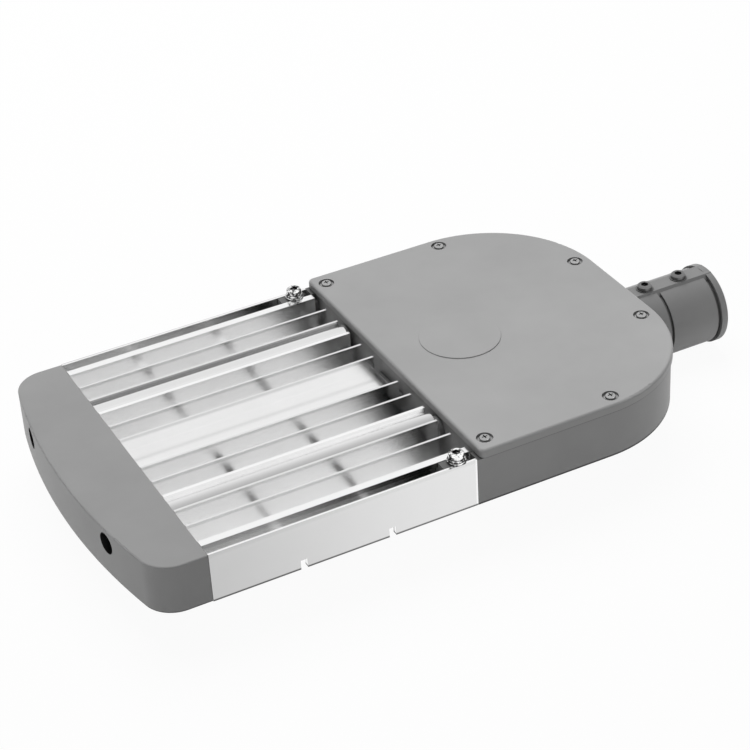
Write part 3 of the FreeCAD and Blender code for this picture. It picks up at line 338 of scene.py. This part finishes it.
def powder_coat(name, low, high, roughness, groove, corner, painted_shading):
    """Satin powder coat on a casting: fine orange peel and a faint cloudiness, with painted shade
    in its crevices and the painted light and shade of its part.
    """
    material, tree, output = new_material(name)
    place = object_place(tree)
    speck = noise(tree, place, SPECK_SCALE, 2.0)
    colour = ramp(tree, noise(tree, place, PAINT_CLOUD), [(0.3, low), (0.7, high)])
    colour = with_crevice_shade(tree, colour, GROOVE_REACH, groove)
    colour = with_crevice_shade(tree, colour, CORNER_REACH, corner)
    colour = scaled(tree, colour, painted_shading(tree))
    surface(tree, output, colour, spread(tree, speck, roughness - 0.05, roughness + 0.05),
            bump(tree, speck, 0.25, SPECK_DEPTH), **{"Specular IOR Level": 0.25})
    return material


def groove_shade(tree, y, z):
    """The share of painted shade in the grooves between the screw tubes and the fins beside them.
    """
    inside = band(tree, y, *FAR_GROOVE_INSIDE, 0.35)
    outside = band(tree, y, *FAR_GROOVE_OUTSIDE, 0.35)
    near = band(tree, y, *NEAR_GROOVE, 0.60)
    shade_sum = math_node(tree, "ADD", math_node(tree, "ADD", inside, outside), near)
    return product(tree, shade_sum, band(tree, z, *GROOVE_HEIGHT))


def fin_top_shade(tree, side, z):
    """The share of painted shade on the tops of the fins, less on the thick ones."""
    thick = math_node(tree, "ADD", band(tree, side, *STOUT_FIN, 0.17),
                      step_up(tree, side, *SIDE_WALL, 0.0, 0.15))
    return product(tree, step_up(tree, z, *FIN_TOP_FADE, 0.0, 1.0),
                   math_node(tree, "SUBTRACT", 0.22, thick))


def slot_shade(tree, x, y, z, side):
    """The share of shade in the two clamp slots, deeper towards the housing."""
    return product(tree, band(tree, side, *CLAMP_SLOT),
                   step_up(tree, x, *SLOT_ALONG, 0.08, 0.45),
                   step_up(tree, y, *SLOT_SIDES, 1.0, 0.4),
                   step_up(tree, z, *SLOT_TOP, 1.0, 0.0))


def duct_roof_shade(tree, side, z):
    """The share of painted shade on the roof of the wire duct."""
    return product(tree, step_up(tree, side, *DUCT_SIDE, 0.13, 0.0),
                   step_up(tree, z, *DUCT_TOP, 0.0, 1.0))


def outer_wall_shade(tree, x, side):
    """The share of painted shade on the outer walls, graded along them, but for a painted
    highlight line at the housing.
    """
    return product(tree, step_up(tree, side, *OUTER_FACE, 0.0, 1.0),
                   step_up(tree, x, *OUTER_ALONG, 0.42, 0.18),
                   step_up(tree, x, *END_HIGHLIGHT_LINE, 1.0, 0.0))


def drawn_section(name):
    """The extrusion: bright drawn aluminium, with painted shade on its outer walls, fin tops,
    grooves, clamp slots, duct roof and foot, and a painted highlight line at the housing end.
    """
    material, tree, output = new_material(name)
    lines = noise(tree, object_place(tree, ALONG_X), LINE_SCALE)
    cloud = noise(tree, object_place(tree), METAL_CLOUD)
    x, y, z = object_axes(tree)
    side = math_node(tree, "ABSOLUTE", y)
    colour = ramp(tree, cloud, [(0.25, grey(250)), (0.75, grey(253))])
    for share in (fin_top_shade(tree, side, z), groove_shade(tree, y, z),
                  slot_shade(tree, x, y, z, side), duct_roof_shade(tree, side, z),
                  outer_wall_shade(tree, x, side)):
        colour = darkened(tree, colour, share)
    colour = scaled(tree, colour, foot_shade_line(tree, z))
    surface(tree, output, colour, spread(tree, lines, 0.12, 0.24),
            bump(tree, lines, 0.15, LINE_DEPTH), Metallic=1.0)
    return material


def bare_metal(name, low, high, roughness, stretch=UPRIGHT, line_strength=0.3, metallic=1.0,
               reach=4.0 * MM, darkest=0.15, patch=METAL_CLOUD, half_range=0.25):
    """Bare metal with fine lines along its drawing direction, and painted shade in its crevices.
    """
    material, tree, output = new_material(name)
    lines = noise(tree, object_place(tree, stretch), LINE_SCALE)
    cloud = noise(tree, object_place(tree), patch)
    colour = ramp(tree, cloud, [(0.5 - half_range, low), (0.5 + half_range, high)])
    surface(tree, output, with_crevice_shade(tree, colour, reach, darkest),
            spread(tree, lines, roughness - 0.06, roughness + 0.08),
            bump(tree, lines, line_strength, LINE_DEPTH), Metallic=metallic)
    return material


def plain_solid(name, low, high, roughness, patch=PLASTIC_CLOUD):
    """Rubber or plastic with a fine grain."""
    material, tree, output = new_material(name)
    place = object_place(tree)
    grain = noise(tree, place, GRAIN_SCALE, 2.0)
    colour = ramp(tree, noise(tree, place, patch), [(0.3, low), (0.7, high)])
    surface(tree, output, colour, spread(tree, grain, roughness - 0.06, roughness + 0.06),
            bump(tree, grain, 0.3, GRAIN_DEPTH))
    return material


def clear_moulding(name):
    """Clear lens plastic with a slight unevenness."""
    material, tree, output = new_material(name)
    wave = noise(tree, object_place(tree), WAVE_SCALE, 2.0)
    colour = ramp(tree, wave, [(0.3, grey(235)), (0.7, grey(250))])
    surface(tree, output, colour, spread(tree, wave, 0.03, 0.08),
            bump(tree, wave, 0.2, WAVE_DEPTH), **{"Transmission Weight": 0.9, "IOR": 1.49})
    return material


PAINT = powder_coat("housing_powder_coat", grey(153), grey(159), 0.42, 0.35, 0.35, cover_shade)
COVER_PAINT = powder_coat("cover_powder_coat", grey(154), grey(160), 0.42, 0.95, 0.70, cover_painted_light)
# The end cap's paint is a darker copy of the housing's powder coat, as painted shade
CAP_PAINT_SHADED = powder_coat("cap_powder_coat_shaded", grey(140), grey(146), 0.42, 0.35, 0.45, cap_hole_shade)
SOCKET_PAINT = powder_coat("socket_powder_coat", grey(152), grey(158), 0.48, 0.12, 0.45, socket_top_shade)
SECTION = drawn_section("extruded_section")
ALUMINIUM = bare_metal("extruded_aluminium", grey(238), grey(245), 0.30, stretch=ALONG_X,
                       line_strength=0.35, metallic=0.6)
# The zinc's wide mottle from near black to near white is painted reflection, and its crevice
# darkening is painted shade
ZINC = bare_metal("zinc_plated_steel", grey(56), grey(250), 0.14, reach=7.0 * MM, darkest=0.03,
                  patch=330.0, half_range=0.08)
STAINLESS = bare_metal("stainless_steel", grey(158), grey(186), 0.20, reach=3.0 * MM, darkest=0.10)
BLACK_OXIDE = bare_metal("black_oxide_steel", grey(112), grey(130), 0.35, reach=6.0 * MM,
                         darkest=0.05)
BRASS = bare_metal("plain_brass", (0.60, 0.40, 0.14), (0.70, 0.49, 0.20), 0.25)
RUBBER = plain_solid("black_rubber", grey(26), grey(34), 0.7)
SEAL_RUBBER = plain_solid("grey_seal_rubber", grey(176), grey(190), 0.6)
LENS = clear_moulding("clear_lens_plastic")
BOARD = plain_solid("white_board", grey(228), grey(236), 0.35)
PHOSPHOR = plain_solid("yellow_phosphor", (0.80, 0.62, 0.06), (0.90, 0.70, 0.10), 0.4, 300.0)
PALE_PLASTIC = plain_solid("pale_plastic", grey(214), grey(224), 0.5)
BLACK_PLASTIC = plain_solid("black_plastic", grey(34), grey(42), 0.5)
SHEATH = plain_solid("lead_sheath", grey(30), grey(40), 0.55)

LOOK = {
    "cast_paint": PAINT,
    "sink_metal": ALUMINIUM,
    "zinc_steel": ZINC,
    "stainless": STAINLESS,
    "earth_brass": BRASS,
    "black_rubber": RUBBER,
    "clear_lens": LENS,
    "white_board": BOARD,
    "phosphor": PHOSPHOR,
    "plug_plastic": PALE_PLASTIC,
    "driver_case": ALUMINIUM,
    "black_plastic": BLACK_PLASTIC,
    "lead_sheath": SHEATH,
}


# Pieces


def clothe(piece, material):
    """Gives a piece one material."""
    piece.data.materials.clear()
    piece.data.materials.append(material)


def smooth_by_angle(mesh):
    """Smooth shading with sharp edges kept."""
    mesh.shade_smooth()
    mesh.set_sharp_from_angle(angle=math.radians(SHARP_ANGLE))


def dress(node, name, material, width):
    """A copy of a CAD solid with its sharp edges rounded, in the solid's place."""
    mesh = NODES[node].data.copy()
    mesh.name = name
    form = bmesh.new()
    form.from_mesh(mesh)
    bmesh.ops.remove_doubles(form, verts=form.verts, dist=MERGE_DISTANCE)
    bmesh.ops.dissolve_limit(form, angle_limit=math.radians(FLAT_ANGLE), verts=form.verts,
                             edges=form.edges)
    form.to_mesh(mesh)
    form.free()
    smooth_by_angle(mesh)
    piece = bpy.data.objects.new(name, mesh)
    bpy.context.scene.collection.objects.link(piece)
    soft = piece.modifiers.new("soft_edges", "BEVEL")
    soft.width = width
    soft.segments = EDGE_SEGMENTS
    soft.limit_method = "ANGLE"
    soft.angle_limit = math.radians(SHARP_ANGLE)
    soft.use_clamp_overlap = True
    soft.miter_outer = "MITER_ARC"
    flat = piece.modifiers.new("true_flats", "WEIGHTED_NORMAL")
    flat.mode = "FACE_AREA"
    flat.weight = FLAT_WEIGHT
    flat.keep_sharp = True
    clothe(piece, material)
    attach(piece, "root")
    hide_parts(node)
    return piece


# Each dressed solid: its node, its name, its material and the width of its rounded edges
dress("heat_sink", "heat_sink_extrusion", SECTION, 0.25 * MM)
dress("end_cap", "end_cap_casting", CAP_PAINT_SHADED, 0.5 * MM)
dress("driver_housing", "driver_housing_casting", PAINT, 0.5 * MM)
dress("driver_cover", "driver_cover_casting", COVER_PAINT, 0.4 * MM)
dress("pole_screws", "pole_clamp_screws", BLACK_OXIDE, 0.6 * MM)
dress("clamp_screws", "side_clamp_screws", ZINC, 0.5 * MM)
dress("clamp_washers", "side_flat_washers", ZINC, 0.3 * MM)
dress("spring_washers", "side_spring_washers", ZINC, 0.3 * MM)
dress("cover_screws", "cover_pan_screws", STAINLESS, 0.25 * MM)
dress("socket_casting", "pole_socket_casting", SOCKET_PAINT, 0.5 * MM)

for node_name, piece in NODES.items():
    if not piece.hide_render:
        clothe(piece, SEAL_RUBBER if node_name == "screw_seals" else LOOK[SLOT_OF[node_name]])
        smooth_by_angle(piece.data)


# Floor, light and camera


def seen_directly(tree):
    """1 for a ray from the camera, a mirror surface or a clear piece, 0 for other light."""
    path = tree.nodes.new("ShaderNodeLightPath")
    seen = math_node(tree, "MAXIMUM", path.outputs["Is Camera Ray"], path.outputs["Is Glossy Ray"])
    return math_node(tree, "MAXIMUM", seen, path.outputs["Is Transmission Ray"])


def mixed(tree, output, share, first, second):
    """Joins two shaders by a share and gives them to the output."""
    mix = tree.nodes.new("ShaderNodeMixShader")
    tree.links.new(share, mix.inputs["Fac"])
    tree.links.new(first.outputs[0], mix.inputs[1])
    tree.links.new(second.outputs[0], mix.inputs[2])
    tree.links.new(mix.outputs[0], output.inputs["Surface"])


def under_mask(tree):
    """1 over the open floor, falling to 0 under the head, where its shadow is deepest."""
    place = tree.nodes.new("ShaderNodeNewGeometry")
    middle = [-centre / reach for centre, reach in zip(SHADOW_CENTRE, SHADOW_REACH)]
    scale = [1 / reach for reach in SHADOW_REACH]
    oval = add(tree, "ShaderNodeMapping", Location=(*middle, 0), Scale=(*scale, 0))
    length = add(tree, "ShaderNodeVectorMath", operation="LENGTH")
    tree.links.new(place.outputs["Position"], oval.inputs["Vector"])
    tree.links.new(oval.outputs["Vector"], length.inputs[0])
    return step_up(tree, length.outputs["Value"], *SHADOW_FADE, 0.0, 1.0)


def floor_material():
    """A pale floor that shows white round the head and keeps the shadow under it."""
    material, tree, output = new_material("pale_floor")
    diffuse = add(tree, "ShaderNodeBsdfDiffuse", Color=FLOOR_COLOUR)
    glow = add(tree, "ShaderNodeEmission", Strength=1.0)
    share = product(tree, seen_directly(tree), FLOOR_GLOW, under_mask(tree))
    mixed(tree, output, share, diffuse, glow)
    return material


def studio():
    """The floor, a plain white surround and three soft lamps."""
    bpy.ops.mesh.primitive_plane_add(size=FLOOR_SIZE,
                                     location=(FLOOR_X, 0, cad_box[0].z - FLOOR_GAP))
    floor = bpy.context.active_object
    floor.name = "studio_floor"
    clothe(floor, floor_material())

    world = bpy.data.worlds.new("studio_surround")
    bpy.context.scene.world = world
    world.use_nodes = True
    tree = world.node_tree
    tree.nodes.clear()
    output = tree.nodes.new("ShaderNodeOutputWorld")
    shown = add(tree, "ShaderNodeBackground", Color=WHITE, Strength=1.0)
    ambient = add(tree, "ShaderNodeBackground", Color=WHITE, Strength=AMBIENT)
    mixed(tree, output, seen_directly(tree), ambient, shown)

    for name, place, size, power, mirrored in LAMPS:
        data = bpy.data.lights.new(name, "AREA")
        data.shape = "RECTANGLE"
        data.size, data.size_y = size
        data.energy = power
        lamp = bpy.data.objects.new(name, data)
        bpy.context.scene.collection.objects.link(lamp)
        lamp.location = place
        lamp.visible_camera = False
        lamp.visible_glossy = mirrored
        aim = LAMP_AIM - Vector(place)
        lamp.rotation_euler = aim.to_track_quat("-Z", "Y").to_euler()


def camera():
    """The camera at the photograph's viewing angle."""
    azimuth, elevation, roll = (math.radians(angle) for angle in CAMERA_ANGLES)
    back = Vector((math.sin(azimuth) * math.cos(elevation),
                   -math.cos(azimuth) * math.cos(elevation), math.sin(elevation)))
    right = Vector((0, 0, 1)).cross(back).normalized()
    up = back.cross(right)
    side = right * math.cos(roll) + up * math.sin(roll)
    top = up * math.cos(roll) - right * math.sin(roll)
    data = bpy.data.cameras.new("photo_camera")
    data.sensor_width = SENSOR_WIDTH
    data.lens = FOCAL_LENGTH
    data.clip_start, data.clip_end = CLIP_RANGE
    eye = bpy.data.objects.new("photo_camera", data)
    bpy.context.scene.collection.objects.link(eye)
    turn = Matrix((side, top, back)).transposed().to_4x4()
    eye.matrix_world = Matrix.Translation(CAMERA_PLACE) @ turn
    bpy.context.scene.camera = eye


studio()
camera()
bpy.context.scene.view_settings.view_transform = "Standard"
bpy.context.scene.cycles.glossy_bounces = GLOSSY_BOUNCES
